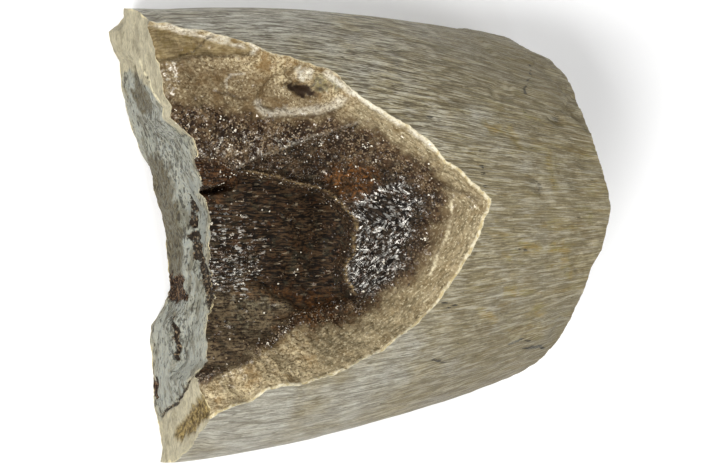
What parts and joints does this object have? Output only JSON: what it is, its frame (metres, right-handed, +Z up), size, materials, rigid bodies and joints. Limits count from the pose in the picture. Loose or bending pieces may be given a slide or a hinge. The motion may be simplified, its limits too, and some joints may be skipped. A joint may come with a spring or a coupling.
{
  "type": "fossil dinosaur bone section",
  "caption": "Broken length of petrified limb-bone shaft: a finely grained, tapering outer wall with a slanting break that opens on the dark marrow zone.",
  "frame": {"origin": "under the middle of the bounding box, on the plane the piece lies on", "axes": "+X along the shaft towards its narrow end, +Y across it, +Z up from the broken underside to the crest of the wall"},
  "size_m": [0.08, 0.0748, 0.0384],
  "materials": {
    "petrified_bone": "satin outside, glossy in the marrow zone"
  },
  "bodies": {
    "root": {"bone_section": "petrified_bone"}
  },
  "joints": []
}
